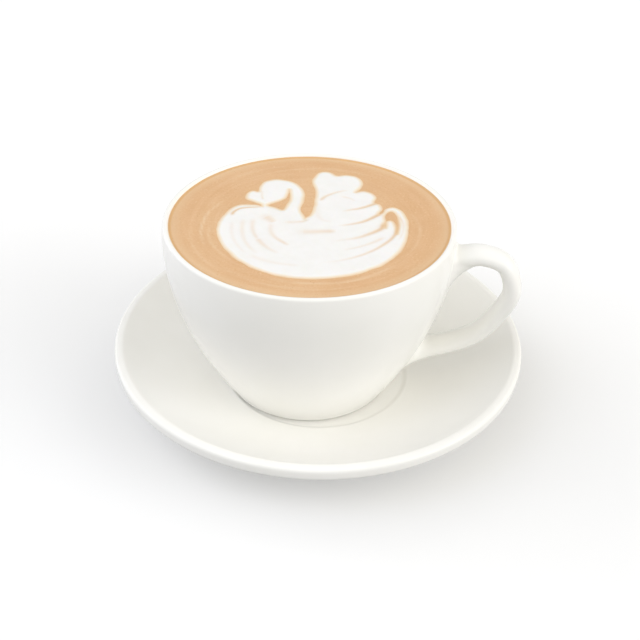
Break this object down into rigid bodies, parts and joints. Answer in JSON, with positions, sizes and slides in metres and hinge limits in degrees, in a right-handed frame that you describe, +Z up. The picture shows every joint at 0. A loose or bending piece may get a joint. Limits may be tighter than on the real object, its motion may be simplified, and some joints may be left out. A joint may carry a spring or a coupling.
{
  "type": "latte",
  "caption": "Latte in a round cup with a loop handle, standing on its saucer, with a swan of milk foam on the coffee.",
  "frame": {"origin": "on the table, under the centre of the saucer", "axes": "+Z up; +X from the cup's axis towards its handle; +Y to the left of that, seen from above"},
  "size_m": [0.16, 0.16, 0.076],
  "materials": {
    "saucer": "gloss white glaze",
    "cup": "gloss white glaze",
    "coffee": "satin, light brown crema",
    "milk_foam": "satin, fine white foam"
  },
  "bodies": {
    "root": {"saucer": "saucer", "cup": "cup", "coffee": "coffee", "milk_foam": "milk_foam"}
  },
  "joints": []
}
